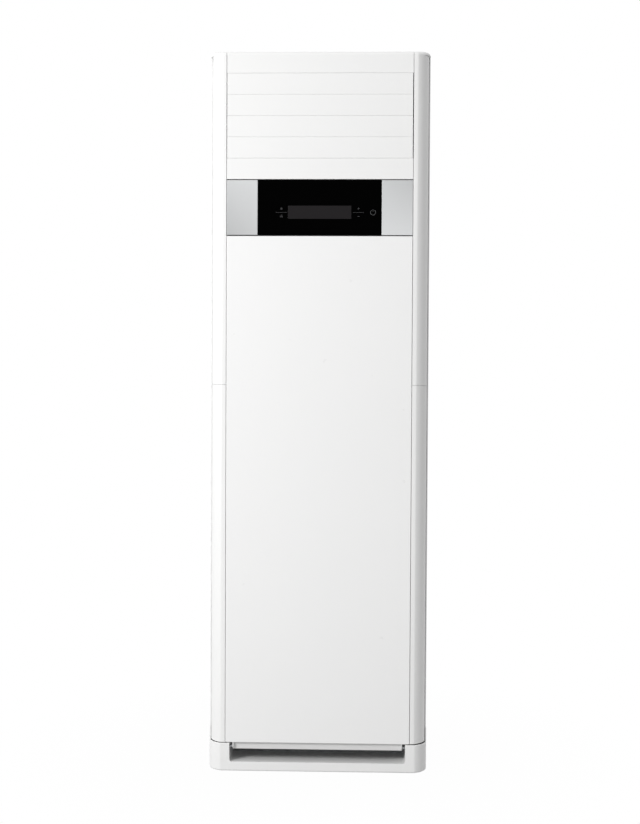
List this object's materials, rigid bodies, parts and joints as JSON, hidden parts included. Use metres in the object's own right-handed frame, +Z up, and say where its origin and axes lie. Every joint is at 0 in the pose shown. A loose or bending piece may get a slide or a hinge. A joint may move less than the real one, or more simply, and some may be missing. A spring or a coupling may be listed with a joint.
{
  "type": "floor standing air conditioner",
  "caption": "Tall white cabinet air conditioner: tilting slats at the top, black glass control strip with silver ends, plain front panel, side intake grilles and a low plinth.",
  "frame": {"origin": "under the middle of the plinth, on the floor", "axes": "+Z up, -Y is the front, +X is to the right seen from the front"},
  "size_m": [0.558, 0.418, 1.824],
  "materials": {
    "white_plastic": "smooth semi-gloss white moulding",
    "white_steel": "white powder coat on sheet steel",
    "zinc_steel": "galvanised sheet steel",
    "silver_plate": "satin silver plate",
    "black_glass": "polished black panel",
    "window": "dark smoked window",
    "grey_plastic": "matt grey moulding",
    "dark_plastic": "matt dark moulding",
    "foam": "closed-cell foam",
    "filter_mesh": "woven filter screen in a frame",
    "board": "circuit board",
    "fins": "closely stacked fins",
    "copper": "copper tube",
    "motor": "dark enamel",
    "hose": "flexible hose",
    "shaft_steel": "turned steel"
  },
  "bodies": {
    "cabinet": {"base_tray": "white_plastic", "floor_pan": "zinc_steel", "column_lower_left": "white_plastic", "column_lower_right": "white_plastic", "column_upper_left": "white_plastic", "column_upper_right": "white_plastic", "side_panel_left": "white_steel", "side_panel_right": "white_steel", "top_cover": "white_plastic", "back_panel_lower": "white_steel", "back_panel_upper": "white_steel", "outlet_frame": "white_plastic", "air_duct": "foam", "louver_motor": "grey_plastic", "vane_motor": "grey_plastic", "plenum_cover": "zinc_steel", "control_glass": "black_glass", "display_window": "window", "fascia_plate_left": "silver_plate", "fascia_plate_right": "silver_plate", "fascia_housing": "grey_plastic", "display_board": "board", "evaporator": "fins", "coil_end_left": "copper", "coil_end_right": "copper", "drain_pan": "dark_plastic", "partition_deck": "zinc_steel", "electrical_box": "zinc_steel", "electrical_cover": "zinc_steel", "control_board": "board", "blower_housing": "grey_plastic", "bell_mouth": "grey_plastic", "fan_motor": "motor", "motor_bracket": "zinc_steel", "suction_pipe": "copper", "liquid_pipe": "copper", "drain_hose": "hose"},
    "front_panel": {"front_panel": "white_steel", "panel_rail": "white_plastic", "panel_foam": "foam"},
    "grille_left": {"intake_grille_left": "white_plastic", "filter_left": "filter_mesh"},
    "grille_right": {"intake_grille_right": "white_plastic", "filter_right": "filter_mesh"},
    "fan": {"impeller": "dark_plastic", "fan_shaft": "shaft_steel"},
    "louver_1": {"louver_1": "white_plastic"},
    "louver_2": {"louver_2": "white_plastic"},
    "louver_3": {"louver_3": "white_plastic"},
    "louver_4": {"louver_4": "white_plastic"},
    "louver_link": {"louver_link": "grey_plastic"},
    "louver_drive": {"louver_drive_arm": "grey_plastic"},
    "vane_1": {"vane_1": "dark_plastic"},
    "vane_2": {"vane_2": "dark_plastic"},
    "vane_3": {"vane_3": "dark_plastic"},
    "vane_4": {"vane_4": "dark_plastic"},
    "vane_5": {"vane_5": "dark_plastic"},
    "vane_6": {"vane_6": "dark_plastic"},
    "vane_link": {"vane_link": "grey_plastic"}
  },
  "joints": [
    {"name": "louver_1_tilt", "type": "hinge", "parent": "cabinet", "child": "louver_1", "pos_m": [0, -0.204, 1.74172], "axis": [1, 0, 0], "range_deg": [0, 85]},
    {"name": "louver_2_tilt", "type": "hinge", "parent": "cabinet", "child": "louver_2", "pos_m": [0, -0.204, 1.68857], "axis": [1, 0, 0], "range_deg": [0, 85]},
    {"name": "louver_3_tilt", "type": "hinge", "parent": "cabinet", "child": "louver_3", "pos_m": [0, -0.204, 1.63542], "axis": [1, 0, 0], "range_deg": [0, 85]},
    {"name": "louver_4_tilt", "type": "hinge", "parent": "cabinet", "child": "louver_4", "pos_m": [0, -0.204, 1.58228], "axis": [1, 0, 0], "range_deg": [0, 85]},
    {"name": "louver_link_pin", "type": "hinge", "parent": "louver_1", "child": "louver_link", "pos_m": [0.22168, -0.187, 1.71228], "axis": [1, 0, 0], "range_deg": [-85, 0]},
    {"name": "louver_drive_turn", "type": "hinge", "parent": "cabinet", "child": "louver_drive", "pos_m": [0.22498, -0.1835, 1.662], "axis": [1, 0, 0], "range_deg": [0, 85]},
    {"name": "vane_1_swing", "type": "hinge", "parent": "cabinet", "child": "vane_1", "pos_m": [-0.175, -0.15, 1.5505], "axis": [0, 0, 1], "range_deg": [-35, 35]},
    {"name": "vane_2_swing", "type": "hinge", "parent": "cabinet", "child": "vane_2", "pos_m": [-0.105, -0.15, 1.5505], "axis": [0, 0, 1], "range_deg": [-35, 35]},
    {"name": "vane_3_swing", "type": "hinge", "parent": "cabinet", "child": "vane_3", "pos_m": [-0.035, -0.15, 1.5505], "axis": [0, 0, 1], "range_deg": [-35, 35]},
    {"name": "vane_4_swing", "type": "hinge", "parent": "cabinet", "child": "vane_4", "pos_m": [0.035, -0.15, 1.5505], "axis": [0, 0, 1], "range_deg": [-35, 35]},
    {"name": "vane_5_swing", "type": "hinge", "parent": "cabinet", "child": "vane_5", "pos_m": [0.105, -0.15, 1.5505], "axis": [0, 0, 1], "range_deg": [-35, 35]},
    {"name": "vane_6_swing", "type": "hinge", "parent": "cabinet", "child": "vane_6", "pos_m": [0.175, -0.15, 1.5505], "axis": [0, 0, 1], "range_deg": [-35, 35]},
    {"name": "vane_link_pin", "type": "hinge", "parent": "vane_1", "child": "vane_link", "pos_m": [-0.175, -0.132, 1.5505], "axis": [0, 0, 1], "range_deg": [-35, 35]},
    {"name": "fan_spin", "type": "hinge", "parent": "cabinet", "child": "fan", "pos_m": [0, -0.06, 0.48], "axis": [0, 1, 0], "continuous": true},
    {"name": "front_panel_tilt", "type": "hinge", "parent": "cabinet", "child": "front_panel", "pos_m": [0, -0.203, 0.063], "axis": [1, 0, 0], "range_deg": [0, 30]},
    {"name": "grille_right_tilt", "type": "hinge", "parent": "cabinet", "child": "grille_right", "pos_m": [0.2752, 0.005, 0.1125], "axis": [0, 1, 0], "range_deg": [0, 20]},
    {"name": "grille_left_tilt", "type": "hinge", "parent": "cabinet", "child": "grille_left", "pos_m": [-0.2752, 0.005, 0.1125], "axis": [0, -1, 0], "range_deg": [0, 20]}
  ],
  "couplings": [
    {"joint": "louver_2_tilt", "follows": "louver_1_tilt", "ratio": 1},
    {"joint": "louver_3_tilt", "follows": "louver_1_tilt", "ratio": 1},
    {"joint": "louver_4_tilt", "follows": "louver_1_tilt", "ratio": 1},
    {"joint": "louver_link_pin", "follows": "louver_1_tilt", "ratio": -1},
    {"joint": "louver_drive_turn", "follows": "louver_1_tilt", "ratio": 1},
    {"joint": "vane_2_swing", "follows": "vane_1_swing", "ratio": 1},
    {"joint": "vane_3_swing", "follows": "vane_1_swing", "ratio": 1},
    {"joint": "vane_4_swing", "follows": "vane_1_swing", "ratio": 1},
    {"joint": "vane_5_swing", "follows": "vane_1_swing", "ratio": 1},
    {"joint": "vane_6_swing", "follows": "vane_1_swing", "ratio": 1},
    {"joint": "vane_link_pin", "follows": "vane_1_swing", "ratio": -1}
  ]
}
